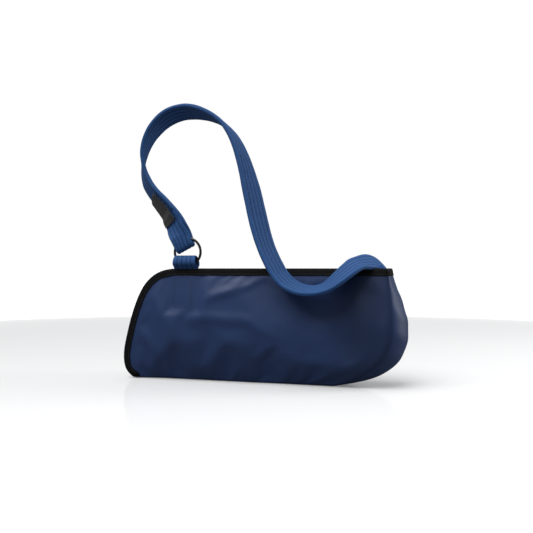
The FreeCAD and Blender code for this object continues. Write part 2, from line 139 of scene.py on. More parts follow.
def stripPlace(along, across):
    # The bottom and the elbow end in one strip: along 0 to 1 is the bottom, 1 to 2 goes up the elbow end.
    up = np.clip(along - 1, 0, 1)
    edge = elbowLine.at(up * elbowLine.length)
    bottom = np.clip(along, 0, 1)
    start = handLine.at(0.0)
    low = np.stack([start[0] + (elbowLine.at(0.0)[0] - start[0]) * bottom, 0 * bottom,
                    1.2 * (1 - bottom) + 0.1 * bottom], 1)
    run = elbowLine.along(up * elbowLine.length)
    outward = np.stack([run[:, 2], 0 * up, -run[:, 0]], 1)
    crown = pouch["endCrown"] * np.abs(np.sin(np.pi * up)) ** 1.3 + pouch["lipCrown"] * up
    onElbow = along > 1
    place = np.where(onElbow[:, None], edge, low)
    width = halfWidth(place[:, 0], place[:, 2])
    place = place + outward * (crown * (1 - across**2) * onElbow)[:, None]
    place[:, 1] = across * width
    place[:, 2] -= np.where(onElbow, 0, 1) * (1 - np.abs(across) ** 6) * 0.9 * (1 - bottom)
    return place


# helpers for modelling

def deselectAll():
    if bpy.context.object and bpy.context.object.mode != "OBJECT":
        bpy.ops.object.mode_set(mode="OBJECT")
    bpy.ops.object.select_all(action="DESELECT")


def makeActive(*objects):
    deselectAll()
    for o in objects:
        o.select_set(True)
    bpy.context.view_layer.objects.active = objects[0]


def gridSurface(name, columns, rows, place, uv=None):
    # A grid from its primitive, each point then moved by place(u, v) with u and v from 0 to 1.
    deselectAll()
    bpy.ops.mesh.primitive_grid_add(x_subdivisions=columns, y_subdivisions=rows, size=1.0)
    piece = bpy.context.object
    piece.name = name
    mesh = piece.data
    co = np.empty(len(mesh.vertices) * 3)
    mesh.vertices.foreach_get("co", co)
    co = co.reshape(-1, 3)
    u = np.clip(co[:, 0] + 0.5, 0, 1)
    v = np.clip(co[:, 1] + 0.5, 0, 1)
    u = np.round(u * columns) / columns
    v = np.round(v * rows) / rows
    mesh.vertices.foreach_set("co", toFrame(place(u, v)).ravel())
    if uv is not None:
        spots = uv(u, v) * layout["mm"]
        loops = np.empty(len(mesh.loops), int)
        mesh.loops.foreach_get("vertex_index", loops)
        mesh.uv_layers[0].data.foreach_set("uv", spots[loops].ravel())
    mesh.update()
    return piece


def editAll(piece, *jobs):
    makeActive(piece)
    bpy.ops.object.mode_set(mode="EDIT")
    bpy.ops.mesh.select_all(action="SELECT")
    for job in jobs:
        job()
    bpy.ops.object.mode_set(mode="OBJECT")


def weld(distance=0.00002):
    bpy.ops.mesh.remove_doubles(threshold=distance)


def faceOut():
    bpy.ops.mesh.normals_make_consistent(inside=False)


def closeEnds():
    bpy.ops.mesh.fill_holes(sides=0)


def joinPieces(name, pieces):
    makeActive(*pieces)
    bpy.ops.object.join()
    pieces[0].name = name
    return pieces[0]


def shadeSmooth(piece, angle=None):
    makeActive(piece)
    if angle is None:
        bpy.ops.object.shade_smooth()
    else:
        bpy.ops.object.shade_smooth_by_angle(angle=math.radians(angle))


def applyModifier(piece, modifier):
    makeActive(piece)
    bpy.ops.object.modifier_apply(modifier=modifier.name)


def readPoints(piece):
    co = np.empty(len(piece.data.vertices) * 3)
    piece.data.vertices.foreach_get("co", co)
    return co.reshape(-1, 3)


def writePoints(piece, co):
    piece.data.vertices.foreach_set("co", np.asarray(co).ravel())
    piece.data.update()


def addAttribute(piece, name, values):
    attribute = piece.data.attributes.get(name) or piece.data.attributes.new(name, "FLOAT", "POINT")
    attribute.data.foreach_set("value", np.asarray(values, np.float32))


def duplicate(piece, name):
    makeActive(piece)
    bpy.ops.object.duplicate()
    copy = bpy.context.object
    copy.name = name
    return copy


# shader groups

def newGroup(name, inputs, outputs):
    group = bpy.data.node_groups.new(name, "ShaderNodeTree")
    for socketName, kind, value in inputs:
        s = group.interface.new_socket(name=socketName, in_out="INPUT", socket_type=kind)
        if value is not None:
            s.default_value = value
    for socketName, kind in outputs:
        group.interface.new_socket(name=socketName, in_out="OUTPUT", socket_type=kind)
    return group, group.nodes.new("NodeGroupInput"), group.nodes.new("NodeGroupOutput")


def mathNode(tree, operation, first, second=None, third=None):
    node = tree.nodes.new("ShaderNodeMath")
    node.operation = operation
    for i, value in enumerate((first, second, third)):
        if value is None:
            continue
        if isinstance(value, (int, float)):
            node.inputs[i].default_value = value
        else:
            tree.links.new(value, node.inputs[i])
    return node.outputs[0]


def clothToneGroup():
    # Colour that wanders a little over the cloth, and fine flecks of yarn.
    group, inp, out = newGroup(
        "clothTone",
        [("Color", "NodeSocketColor", (0.1, 0.1, 0.1, 1)), ("Patch Size", "NodeSocketFloat", 12.0),
         ("Patches", "NodeSocketFloat", 0.15), ("Flecks", "NodeSocketFloat", 0.1)],
        [("Color", "NodeSocketColor"), ("Mask", "NodeSocketFloat")],
    )
    place = group.nodes.new("ShaderNodeTexCoord")
    wide = group.nodes.new("ShaderNodeTexNoise")
    wide.inputs["Detail"].default_value = 3.0
    group.links.new(place.outputs["Object"], wide.inputs["Vector"])
    group.links.new(inp.outputs["Patch Size"], wide.inputs["Scale"])
    fine = group.nodes.new("ShaderNodeTexNoise")
    fine.inputs["Scale"].default_value = 1400.0
    group.links.new(place.outputs["Object"], fine.inputs["Vector"])
    wideShift = mathNode(group, "MULTIPLY", mathNode(group, "SUBTRACT", wide.outputs["Fac"], 0.5),
                         inp.outputs["Patches"])
    fineShift = mathNode(group, "MULTIPLY", mathNode(group, "SUBTRACT", fine.outputs["Fac"], 0.5),
                         inp.outputs["Flecks"])
    value = mathNode(group, "ADD", mathNode(group, "ADD", wideShift, fineShift), 1.0)
    tone = group.nodes.new("ShaderNodeHueSaturation")
    group.links.new(inp.outputs["Color"], tone.inputs["Color"])
    group.links.new(value, tone.inputs["Value"])
    group.links.new(tone.outputs["Color"], out.inputs["Color"])
    group.links.new(wide.outputs["Fac"], out.inputs["Mask"])
    return group


def weaveGroup():
    # Over and under yarns from the piece's own UV map, in metres. Pitch is yarns per metre.
    group, inp, out = newGroup(
        "yarnWeave",
        [("Pitch", "NodeSocketFloat", 900.0), ("Slant", "NodeSocketFloat", 0.6)],
        [("Height", "NodeSocketFloat"), ("Mask", "NodeSocketFloat")],
    )
    uv = group.nodes.new("ShaderNodeTexCoord")
    split = group.nodes.new("ShaderNodeSeparateXYZ")
    group.links.new(uv.outputs["UV"], split.inputs["Vector"])
    turn = 2 * math.pi
    across = mathNode(group, "MULTIPLY",
                      mathNode(group, "MULTIPLY", split.outputs["X"], inp.outputs["Pitch"]), turn)
    along = mathNode(group, "MULTIPLY",
                     mathNode(group, "MULTIPLY", split.outputs["Y"], inp.outputs["Pitch"]), turn)
    slanted = mathNode(group, "ADD", along, mathNode(group, "MULTIPLY", across, inp.outputs["Slant"]))
    warp = mathNode(group, "ABSOLUTE", mathNode(group, "SINE", mathNode(group, "MULTIPLY", across, 0.5)))
    weft = mathNode(group, "ABSOLUTE", mathNode(group, "SINE", mathNode(group, "MULTIPLY", slanted, 0.5)))
    height = mathNode(group, "MULTIPLY", mathNode(group, "POWER", warp, 0.6),
                      mathNode(group, "POWER", weft, 0.6))
    group.links.new(height, out.inputs["Height"])
    group.links.new(mathNode(group, "SUBTRACT", 1.0, height), out.inputs["Mask"])
    return group


def nubGroup():
    # Small knit nubs from object coordinates, for laminated and brushed cloth.
    group, inp, out = newGroup("knitNubs", [("Scale", "NodeSocketFloat", 900.0)],
                               [("Height", "NodeSocketFloat")])
    place = group.nodes.new("ShaderNodeTexCoord")
    cells = group.nodes.new("ShaderNodeTexVoronoi")
    cells.feature = "SMOOTH_F1"
    group.links.new(place.outputs["Object"], cells.inputs["Vector"])
    group.links.new(inp.outputs["Scale"], cells.inputs["Scale"])
    group.links.new(mathNode(group, "SUBTRACT", 1.0, cells.outputs["Distance"]), out.inputs["Height"])
    return group


clothTone = clothToneGroup()
yarnWeave = weaveGroup()
knitNubs = nubGroup()


def addGroup(tree, group, **values):
    node = tree.nodes.new("ShaderNodeGroup")
    node.node_tree = group
    for key, value in values.items():
        node.inputs[key.replace("_", " ")].default_value = value
    return node


def clothMaterial(look):
    # Cloth with its tone, an optional weave or knit relief, and optional painted shade, darker
    # in grooves and creases, from the piece's own attribute.
    material = bpy.data.materials.new(look["name"])
    material.use_nodes = True
    tree = material.node_tree
    shader = tree.nodes["Principled BSDF"]
    tone = addGroup(tree, clothTone, Color=(*look["color"], 1), Patch_Size=look.get("patchSize", 12.0),
                    Patches=look.get("patches", 0.15), Flecks=look.get("flecks", 0.1))
    colour = tone.outputs["Color"]
    # painted shade: the attribute mixes the colour towards a darker one in grooves and creases
    if "grooveShadeColor" in look:
        grooveShade = tree.nodes.new("ShaderNodeAttribute")
        grooveShade.attribute_name = "grooveShade"
        mix = tree.nodes.new("ShaderNodeMix")
        mix.data_type = "RGBA"
        tree.links.new(grooveShade.outputs["Fac"], mix.inputs["Factor"])
        tree.links.new(colour, mix.inputs["A"])
        mix.inputs["B"].default_value = (*look["grooveShadeColor"], 1)
        colour = mix.outputs["Result"]
    height = None
    if "pitch" in look:
        weave = addGroup(tree, yarnWeave, Pitch=look["pitch"], Slant=look.get("slant", 0.6))
        height = weave.outputs["Height"]
        dark = tree.nodes.new("ShaderNodeMix")
        dark.data_type = "RGBA"
        dark.blend_type = "MULTIPLY"
        tree.links.new(mathNode(tree, "MULTIPLY", weave.outputs["Mask"], look.get("weaveShade", 0.5)),
                       dark.inputs["Factor"])
        tree.links.new(colour, dark.inputs["A"])
        dark.inputs["B"].default_value = (0.25, 0.25, 0.28, 1)
        colour = dark.outputs["Result"]
    elif "nubs" in look:
        height = addGroup(tree, knitNubs, Scale=look["nubs"]).outputs["Height"]
    tree.links.new(colour, shader.inputs["Base Color"])
    rough = mathNode(tree, "ADD", mathNode(tree, "MULTIPLY", tone.outputs["Mask"],
                                           look.get("roughSpread", 0.12)), look["rough"])
    tree.links.new(rough, shader.inputs["Roughness"])
    shader.inputs["Sheen Weight"].default_value = look.get("sheen", 0.0)
    shader.inputs["Sheen Roughness"].default_value = look.get("sheenRough", 0.5)
    shader.inputs["Sheen Tint"].default_value = (*look.get("sheenTint", (1, 1, 1)), 1)
    shader.inputs["Specular IOR Level"].default_value = look.get("specular", 0.5)
    shader.inputs["Coat Weight"].default_value = look.get("coat", 0.0)
    shader.inputs["Coat Roughness"].default_value = look.get("coatRough", 0.4)
    if height is not None:
        bump = tree.nodes.new("ShaderNodeBump")
        bump.inputs["Strength"].default_value = look.get("bump", 0.4)
        bump.inputs["Distance"].default_value = look.get("relief", 0.0003)
        tree.links.new(height, bump.inputs["Height"])
        tree.links.new(bump.outputs["Normal"], shader.inputs["Normal"])
    return material


# the groove colour is painted shade along the elbow seam, where the cloth creases round the end
pouchFabric = clothMaterial({"name": "navyLaminate", "color": (0.021, 0.046, 0.135),
                             "grooveShadeColor": (0.007, 0.014, 0.038), "rough": 0.4, "roughSpread": 0.14,
                             "patches": 0.3, "patchSize": 9.0, "flecks": 0.14, "nubs": 1500.0,
                             "bump": 0.25, "relief": 0.00015,
                             "sheen": 0.02, "sheenRough": 0.45, "sheenTint": (0.55, 0.65, 1.0),
                             "specular": 0.3})
liningFabric = clothMaterial({"name": "brushedLining", "color": (0.012, 0.016, 0.034), "rough": 0.85,
                              "patches": 0.3,
                              "flecks": 0.4, "nubs": 700.0, "bump": 0.6, "relief": 0.0004, "sheen": 0.4})
foamStuff = clothMaterial({"name": "openFoam", "color": (0.05, 0.052, 0.06), "rough": 0.95, "nubs": 500.0,
                           "bump": 0.8, "relief": 0.0006})
bindingTape = clothMaterial({"name": "blackBindingTape", "color": (0.0035, 0.0035, 0.0045), "rough": 0.7,
                             "patches": 0.3,
                             "flecks": 0.3, "pitch": 1150.0, "slant": 0.0, "bump": 0.5, "relief": 0.0003,
                             "weaveShade": 0.4, "specular": 0.16})
# the groove colour is painted shade in the grooves between the ribs
strapWebbing = clothMaterial({"name": "blueRibbedWebbing", "color": (0.027, 0.100, 0.29),
                              "grooveShadeColor": (0.006, 0.022, 0.075),
                              "rough": 0.66, "patches": 0.16, "patchSize": 20.0, "flecks": 0.25,
                              "pitch": 620.0, "slant": 0.8,
                              "bump": 0.45, "relief": 0.0004, "sheen": 0.06,
                              "sheenTint": (0.6, 0.75, 1.0), "specular": 0.25, "weaveShade": 0.35})
hookTape = clothMaterial({"name": "greyHookTape", "color": (0.028, 0.028, 0.029), "rough": 0.8,
                          "patches": 0.25, "flecks": 0.8,
                          "nubs": 950.0, "bump": 0.9, "relief": 0.0006, "sheen": 0.1})
loopTape = clothMaterial({"name": "loopPile", "color": (0.018, 0.02, 0.024), "rough": 0.95, "flecks": 0.9,
                          "nubs": 650.0,
                          "bump": 1.0, "relief": 0.0008, "sheen": 0.4})
navyThread = clothMaterial({"name": "navyThread", "color": (0.022, 0.04, 0.1), "rough": 0.5,
                            "nubs": 2500.0, "bump": 0.5,
                            "relief": 0.0001, "sheen": 0.2})
blackThread = clothMaterial({"name": "blackThread", "color": (0.012, 0.012, 0.014), "rough": 0.45,
                             "nubs": 2500.0, "bump": 0.5,
                             "relief": 0.0001, "sheen": 0.1})
blueThread = clothMaterial({"name": "blueThread", "color": (0.05, 0.13, 0.32), "rough": 0.5,
                            "nubs": 2500.0, "bump": 0.5,
                            "relief": 0.0001, "sheen": 0.2})


def ringMaterial():
    material = bpy.data.materials.new("blackCoatedWire")
    material.use_nodes = True
    tree = material.node_tree
    shader = tree.nodes["Principled BSDF"]
    tone = addGroup(tree, clothTone, Color=(0.006, 0.006, 0.0075, 1), Patch_Size=60.0, Patches=0.5,
                    Flecks=0.2)
    tree.links.new(tone.outputs["Color"], shader.inputs["Base Color"])
    rough = mathNode(tree, "ADD", mathNode(tree, "MULTIPLY", tone.outputs["Mask"], 0.25), 0.2)
    tree.links.new(rough, shader.inputs["Roughness"])
    shader.inputs["Coat Weight"].default_value = 0.4
    shader.inputs["Coat Roughness"].default_value = 0.2
    bump = tree.nodes.new("ShaderNodeBump")
    bump.inputs["Strength"].default_value = 0.15
    bump.inputs["Distance"].default_value = 0.0001
    tree.links.new(addGroup(tree, knitNubs, Scale=500.0).outputs["Height"], bump.inputs["Height"])
    tree.links.new(bump.outputs["Normal"], shader.inputs["Normal"])
    return material


ringCoating = ringMaterial()
print("materials ready")


def setMaterial(piece, material):
    piece.data.materials.clear()
    piece.data.materials.append(material)


# the wall of the pouch

# middle x and z, half length, half width, lean in degrees and depth of each soft fold in the front fabric
folds = [
    (-39, 137, 45, 7, 19, 2.0), (-48, 96, 35, 8, -1, 1.7), (9, 84, 34, 8, -24, 1.5),
    (-25, 59, 33, 13, -4, 1.9),
    (-128, 74, 32, 20, -51, 2.3), (-171, 61, 21, 7, -46, 1.2), (160, 97, 32, 24, -62, 2.4),
    (105, 83, 27, 15, -85, 1.7),
    (58, 122, 28, 9, -25, 1.1), (69, 37, 72, 10, 0, 1.4), (-150, 108, 20, 8, -61, 1.1),
    (40, 149, 24, 8, -26, 1.0),
]
backFolds = [
    (-60, 110, 80, 14, 18, -2.2), (20, 90, 90, 15, 10, 1.8), (90, 70, 70, 15, -12, -2.0),
    (-120, 70, 60, 14, 48, 1.6),
    (140, 110, 44, 13, 66, -1.8), (-20, 48, 90, 13, 4, -1.6),
]


def foldLift(x, z, table):
    lift = np.zeros_like(x)
    for middleX, middleZ, long, wide, lean, depth in table:
        turn = math.radians(lean)
        along = (x - middleX) * math.cos(turn) + (z - middleZ) * math.sin(turn)
        aside = -(x - middleX) * math.sin(turn) + (z - middleZ) * math.cos(turn)
        bend = aside + 0.18 * wide * np.sin(along / long * 2.6)
        lift += 1.55 * depth * np.exp(-((along / long) ** 2)) * np.exp(-((bend / wide) ** 2))
    return lift


keeperPatch = {"x": -110, "z": 142, "halfWidth": 20, "halfHeight": 30, "fade": 12}


def keeperClear(x, z):
    # Near 0 where the keeper's ends lie in the wall, which keeps its plain shape there.
    aside = np.abs(x - keeperPatch["x"]) - keeperPatch["halfWidth"]
    above = np.abs(z - keeperPatch["z"]) - keeperPatch["halfHeight"]
    return np.clip(np.maximum(aside, above) / keeperPatch["fade"], 0, 1)


def wallSurface():
    # The outer face of the pouch as one open shell: front, bottom and elbow end, and back.
    columns, rows = pouch["columns"], pouch["rows"]
    front = gridSurface("front", columns, rows, lambda u, v: panelPlace(u, v, -1), lambda u,
                        v: np.stack([u * 400, v * 170], 1))
    back = gridSurface("back", columns, rows, lambda u, v: panelPlace(u, v, 1), lambda u,
                       v: np.stack([u * 400, v * 170], 1))

    def strip(u, v):
        share = u * (columns + rows)
        along = np.where(share <= columns, share / columns, 1 + (share - columns) / rows)
        return stripPlace(along, 2 * v - 1)

    side = gridSurface("strip", columns + rows, pouch["stripColumns"], strip, lambda u,
                       v: np.stack([u * 560, v * 80], 1))
    shell = joinPieces("pouchOuter", [front, back, side])
    editAll(shell, lambda: weld(0.0004), faceOut)
    return shell


def shellFacts(piece):
    # How far each point is from the open edge (0 on it), in rings of points.
    mesh = piece.data
    count = len(mesh.vertices)
    edges = np.empty(len(mesh.edges) * 2, int)
    mesh.edges.foreach_get("vertices", edges)
    edges = edges.reshape(-1, 2)
    faceCount = np.zeros(len(mesh.edges), int)
    loopEdges = np.empty(len(mesh.loops), int)
    mesh.loops.foreach_get("edge_index", loopEdges)
    np.add.at(faceCount, loopEdges, 1)
    rim = np.zeros(count, bool)
    rim[edges[faceCount == 1].ravel()] = True
    rings = np.full(count, 99)
    rings[rim] = 0
    for step in range(1, 9):
        near = np.minimum(rings[edges[:, 0]], rings[edges[:, 1]])
        for end in (0, 1):
            np.minimum.at(rings, edges[:, end], near + 1)
    return rings


def buildShell():
    shell = wallSurface()
    rings = shellFacts(shell)
    co = readPoints(shell) / layout["mm"] - np.array([layout["moveX"], layout["moveY"], 0])
    width = halfWidth(co[:, 0], co[:, 2])
    share = np.clip(co[:, 1] / np.maximum(width, 1), -1, 1)
    onPanel = np.clip((np.abs(share) - 0.86) / 0.12, 0, 1)
    fade = np.clip((rings - 2) / 4.0, 0, 1) * np.clip((co[:, 2] - 3) / 16, 0, 1)
    endFade = np.clip((198 - co[:, 0]) / 22, 0, 1)
    front = foldLift(co[:, 0], co[:, 2], folds) * (share < 0) * keeperClear(co[:, 0], co[:, 2])
    back = foldLift(co[:, 0], co[:, 2], backFolds) * (share > 0)
    box = np.clip(1.6 - np.maximum(np.abs(co[:, 0] + 113) - 15, 0) / 2.5, 0,
                  1) * np.clip(1.6 - np.maximum(np.abs(co[:, 2] - 136) - 25, 0) / 2.5, 0, 1)
    patch = 0.45 * box * (share < -0.8)
    lift = (front + back) * onPanel * fade * endFade + patch
    co[:, 1] += np.sign(share) * lift
    # the padded panels roll under towards the bottom
    under = np.clip((48 - co[:, 2]) / 48, 0, 1) ** 2.2 * np.clip((co[:, 0] + 200) / 50, 0,
                                                                 1) * np.clip((190 - co[:, 0]) / 60, 0, 1)
    co[:, 1] -= share * 10.0 * under
    # soft ripples on the crowned end, where the strip is eased round the corner
    onEnd = (co[:, 0] > 120) & (np.abs(share) < 0.9)
    co[:, 0] += onEnd * 0.5 * np.sin(co[:, 2] * 0.21 + 2.5 * share) * fade
    writePoints(shell, toFrame(co))
    # the seams are soft, so the corners along them are eased
    group = shell.vertex_groups.new(name="seams")
    nearSeam = np.clip(1 - np.abs(np.abs(share) - 1) / 0.16, 0, 1) * (rings > 0)
    corner = nearSeam * np.clip((co[:, 0] - 60) / 60 + (co[:, 2] < 22), 0, 1)
    for i in np.nonzero(corner > 0.05)[0]:
        group.add([int(i)], float(corner[i]), "REPLACE")
    ease = shell.modifiers.new("ease", "SMOOTH")
    ease.factor = 0.5
    ease.iterations = 14
    ease.vertex_group = "seams"
    applyModifier(shell, ease)
    co = readPoints(shell)
    co[:, 2] = np.maximum(co[:, 2], 0.0)
    writePoints(shell, co)
    rowX = readPoints(shell)[:, 0] / layout["mm"] - layout["moveX"]
    # painted shade: a darker band along the elbow seam, where the cloth turns round the end
    seamShade = np.clip(1 - (1 - np.abs(share)) / 0.07, 0, 1) * np.clip((rowX - 110) / 40, 0, 1)
    addAttribute(shell, "grooveShade", 0.55 * seamShade)
    return shell, rings


def relaxCloth(shell, rings):
    # The cloth is let go for a moment with the mouth and the bottom held, so that its
    # folds settle.
    start = readPoints(shell)
    pins = shell.vertex_groups.new(name="held")
    low = start[:, 2] < 0.004
    for i, ring in enumerate(rings):
        hold = 1.0 if ring <= 4 or low[i] else 0.0
        if hold:
            pins.add([i], hold, "REPLACE")
    cloth = shell.modifiers.new("cloth", "CLOTH")
    settings = cloth.settings
    settings.quality = 6
    settings.mass = 0.35
    settings.tension_stiffness = 25
    settings.compression_stiffness = 25
    settings.shear_stiffness = 12
    settings.bending_stiffness = 28
    settings.vertex_group_mass = "held"
    settings.use_pressure = True
    settings.uniform_pressure_force = 1.2
    settings.shrink_min = -0.008
    settings.effector_weights.gravity = 0.0
    cloth.collision_settings.use_collision = False
    cloth.point_cache.frame_start = 1
    cloth.point_cache.frame_end = 20
    scene = bpy.context.scene
    for step in range(1, 21):
        scene.frame_set(step)
    applyModifier(shell, cloth)
    scene.frame_set(1)
    moved = readPoints(shell) - start
    far = np.linalg.norm(moved, axis=1, keepdims=True)
    cap = 0.0032
    moved *= np.minimum(1, cap / np.maximum(far, 1e-9)) * np.clip((rings - 3) / 4.0, 0, 1)[:, None]
    local = start / layout["mm"]
    moved *= keeperClear(local[:, 0] - layout["moveX"], local[:, 2])[:, None]
    writePoints(shell, start + moved)
    print("cloth settled, largest move", round(float(far.max()) * 1000, 1), "mm")


def finishShell(shell):
    subdivide = shell.modifiers.new("finer", "SUBSURF")
    subdivide.levels = 1
    subdivide.render_levels = 1
    subdivide.boundary_smooth = "PRESERVE_CORNERS"
    applyModifier(shell, subdivide)


def layerFrom(shell, name, depth, thickness):
    # A layer of the wall, from the outer face moved in by depth.
    layer = duplicate(shell, name)
    if depth:
        inset = layer.modifiers.new("inset", "DISPLACE")
        inset.strength = -depth * layout["mm"]
        inset.mid_level = 0.0
        applyModifier(layer, inset)
    body = layer.modifiers.new("body", "SOLIDIFY")
    body.thickness = thickness * layout["mm"]
    body.offset = -1.0
    body.use_even_offset = False
    applyModifier(layer, body)
    return layer


shellFace, rimRings = buildShell()
normals = np.empty(len(shellFace.data.polygons) * 3)
shellFace.data.polygons.foreach_get("normal", normals)
centres = np.empty(len(shellFace.data.polygons) * 3)
shellFace.data.polygons.foreach_get("center", centres)
frontFaces = centres.reshape(-1, 3)[:, 1] < (layout["moveY"] - 20) * layout["mm"]
if normals.reshape(-1, 3)[frontFaces, 1].mean() > 0:
    editAll(shellFace, bpy.ops.mesh.flip_normals)
relaxCloth(shellFace, rimRings)
finishShell(shellFace)

wallLayers = [
    ("pouchOuter", 0.0, pouch["outer"], pouchFabric, "pouch_fabric", "outer"),
    ("pouchFoam", pouch["outer"] + 0.05, pouch["foam"], foamStuff, "foam", "foam"),
    ("pouchLining", pouch["outer"] + pouch["foam"] + 0.1, pouch["lining"], liningFabric, "lining", "lining"),
]
wallPieces = {}
for name, depth, thickness, material, slotName, word in wallLayers:
    layer = layerFrom(shellFace, name, depth, thickness)
    setMaterial(layer, material)
    shadeSmooth(layer, 50)
    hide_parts("front_panel_" + word, "back_panel_" + word, "elbow_gusset_" + word,
                "bottom_gusset_" + word)
    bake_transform(layer)
    wallPieces[word] = layer
bpy.data.objects.remove(shellFace)
wallPieces["outer"].name = "pouchOuter"
print("pouch wall made")


# binding tape round the mouth

binding = {"width": 10.0, "thick": 0.9, "gap": 0.15, "stations": 150}


def rimStations():
    # Points on the open edge in order, with the direction into the cloth: along the lip from the
    # elbow end to the hand end, then down the hand end.
    n = binding["stations"]
    up = np.linspace(1, 0, n)
    edge = handLine.at(up * handLine.length)
    into = -np.cross(handLine.along(up * handLine.length), np.array([0, 1, 0.0]))
    lipX = np.linspace(elbowLine.at(elbowLine.length)[0] - 3.0, edge[0][0], n)[:-1]
    lip = np.stack([lipX, 0 * lipX, 0 * lipX + pouch["height"]], 1)
    down = np.tile(np.array([0, 0, -1.0]), (len(lip), 1))
    places = np.vstack([lip, edge])
    inward = np.vstack([down, into])
    return places, inward


def rimLoop():
    places, inward = rimStations()
    front = []
    for side in (-1, 1):
        p = places.copy()
        p[:, 1] = side * halfWidth(p[:, 0], p[:, 2])
        q = places + inward * binding["width"]
        q[:, 1] = side * halfWidth(q[:, 0], q[:, 2])
        into = unit(q - p)
        along = unit(np.gradient(p, axis=0))
        out = unit(np.cross(along, into)) * (1 if side < 0 else -1)
        out *= np.sign((out[:, 1] * side).mean())
        front.append((p, into, out))
    # across the bottom of the hand end
    n = 24
    across = np.linspace(-0.93, 0.93, n)
    start = handLine.at(0.0)
    width = halfWidth(start[0], start[2])
    bottom = np.stack([0 * across + start[0], across * width,
                       0 * across + 1.5 + 0.3 * np.abs(across) ** 4], 1)
    intoBottom = np.tile(np.array([1.0, 0, 0]), (n, 1))
    outBottom = np.tile(np.array([0, 0, -1.0]), (n, 1))
    # across the lip of the elbow end
    acrossLip = np.linspace(0.9, -0.9, n)
    lip = stripPlace(np.full(n, 2.0), acrossLip)
    low = stripPlace(np.full(n, 1.955), acrossLip)
    intoLip = unit(low - lip)
    alongLip = unit(np.gradient(lip, axis=0))
    outLip = unit(np.cross(alongLip, intoLip))
    outLip *= np.sign(outLip[:, 0].mean())
    (fp, fi, fo), (bp, bi, bo) = front
    p = np.vstack([fp, bottom, bp[::-1], lip])
    i = np.vstack([fi, intoBottom, bi[::-1], intoLip])
    o = np.vstack([fo, outBottom, bo[::-1], outLip])
    return p, i, o


def smoothLoop(values, passes):
    for k in range(passes):
        values = (np.roll(values, 1, axis=0) + 2 * values + np.roll(values, -1, axis=0)) / 4
    return values


def buildBinding():
    p, i, o = rimLoop()
    # even stations round the closed loop
    step = np.linalg.norm(np.diff(np.vstack([p, p[:1]]), axis=0), axis=1)
    length = np.concatenate([[0], np.cumsum(step)])
    count = 560
    want = np.linspace(0, length[-1], count + 1)[:-1]

    def resample(values):
        closed = np.vstack([values, values[:1]])
        return np.stack([np.interp(want, length, closed[:, k]) for k in range(3)], 1)

    p = smoothLoop(resample(p), 3)
    i = unit(smoothLoop(resample(i), 5))
    o = resample(o)
    o = unit(smoothLoop(o, 5))
    o = unit(o - i * (o * i).sum(1, keepdims=True))
    w, t, g, wall = binding["width"], binding["thick"], binding["gap"], pouch["wall"]
    f = g + t
    profile = [
        (w, g), (w + 0.1, g + t * 0.5), (w, f - 0.1), (w - 1.4, f + 0.05), (w - 2.2, f - 0.12),
        (w - 3.0, f + 0.05), (w * 0.4, f + 0.1),
        (1.4, f + 0.05), (0.1, f - 0.2), (-0.7, f - 0.9), (-1.15, f - 2.0), (-1.25, -wall / 2),
        (-1.15, -wall - f + 2.0), (-0.7, -wall - f + 0.9), (0.1, -wall - f + 0.2), (1.4, -wall - f - 0.05),
        (w * 0.4, -wall - f - 0.1), (w - 1.4, -wall - f), (w, -wall - f + 0.1), (w, -wall - g),
        (1.2, -wall - g), (0.3, -wall - g * 0.5), (0.0, -wall / 2), (0.3, g * 0.5), (1.2, g),
    ]
    profile = np.array(profile)
    wave = 0.12 * np.sin(want * 0.9) + 0.1 * np.sin(want * 0.37 + 1.3)
    around = len(profile)

    def place(u, v):
        a = np.round(u * count).astype(int) % count
        b = np.round(v * around).astype(int) % around
        inReach = profile[b, 0] + np.where(profile[b, 0] > 5, wave[a], 0)
        return p[a] + i[a] * inReach[:, None] + o[a] * profile[b, 1][:, None]

    tape = gridSurface("mouthBinding", count, around, place, lambda u,
                       v: np.stack([u * length[-1], v * 34], 1))
    co = readPoints(tape)
    co[:, 2] = np.maximum(co[:, 2], 0.0)
    writePoints(tape, co)
    editAll(tape, weld, faceOut)
    setMaterial(tape, bindingTape)
    shadeSmooth(tape, 60)
    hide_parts("front_binding", "back_binding", "elbow_binding", "bottom_binding")
    return tape, p, i, o


def stitchRow(name, places, runs, outs, material, length=2.4, thick=0.34, every=3.4):
    # Short raised stitches along a line. Each is one small rounded bar, copied with its own place.
    step = np.linalg.norm(np.diff(places, axis=0), axis=1)
    total = np.concatenate([[0], np.cumsum(step)])
    spots = np.arange(every / 2, total[-1], every)
    rings = 4
    around = 6
    bars = len(spots)
    centre = np.stack([np.interp(spots, total, places[:, k]) for k in range(3)], 1)
    run = unit(np.stack([np.interp(spots, total, runs[:, k]) for k in range(3)], 1))
    out = unit(np.stack([np.interp(spots, total, outs[:, k]) for k in range(3)], 1))
    aside = np.cross(run, out)
    deselectAll()
    bpy.ops.mesh.primitive_uv_sphere_add(segments=around, ring_count=rings, radius=1.0)
    one = bpy.context.object
    one.name = name
    spread = one.modifiers.new("copies", "ARRAY")
    spread.count = bars
    spread.use_relative_offset = False
    spread.use_constant_offset = True
    spread.constant_offset_displace = (10.0, 0, 0)
    applyModifier(one, spread)
    co = readPoints(one)
    which = np.clip(np.round(co[:, 0] / 10.0).astype(int), 0, bars - 1)
    local = co.copy()
    local[:, 0] -= which * 10.0
    place = centre[which] + run[which] * (local[:, 2] * length / 2)[:, None]
    place += aside[which] * (local[:, 0] * thick)[:, None] + out[which] * (local[:, 1] * thick * 0.8)[:, None]
    writePoints(one, toFrame(place))
    editAll(one, faceOut)
    setMaterial(one, material)
    shadeSmooth(one)
    return one


tape, rimP, rimI, rimO = buildBinding()
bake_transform(tape)
closedP = rimP + rimI * (binding["width"] - 2.2) + rimO * (binding["gap"] + binding["thick"] + 0.02)
tapeThread = stitchRow("bindingThread", closedP, np.gradient(rimP, axis=0), rimO, blackThread)
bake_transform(tapeThread)
print("binding sewn round the mouth")


# webbing

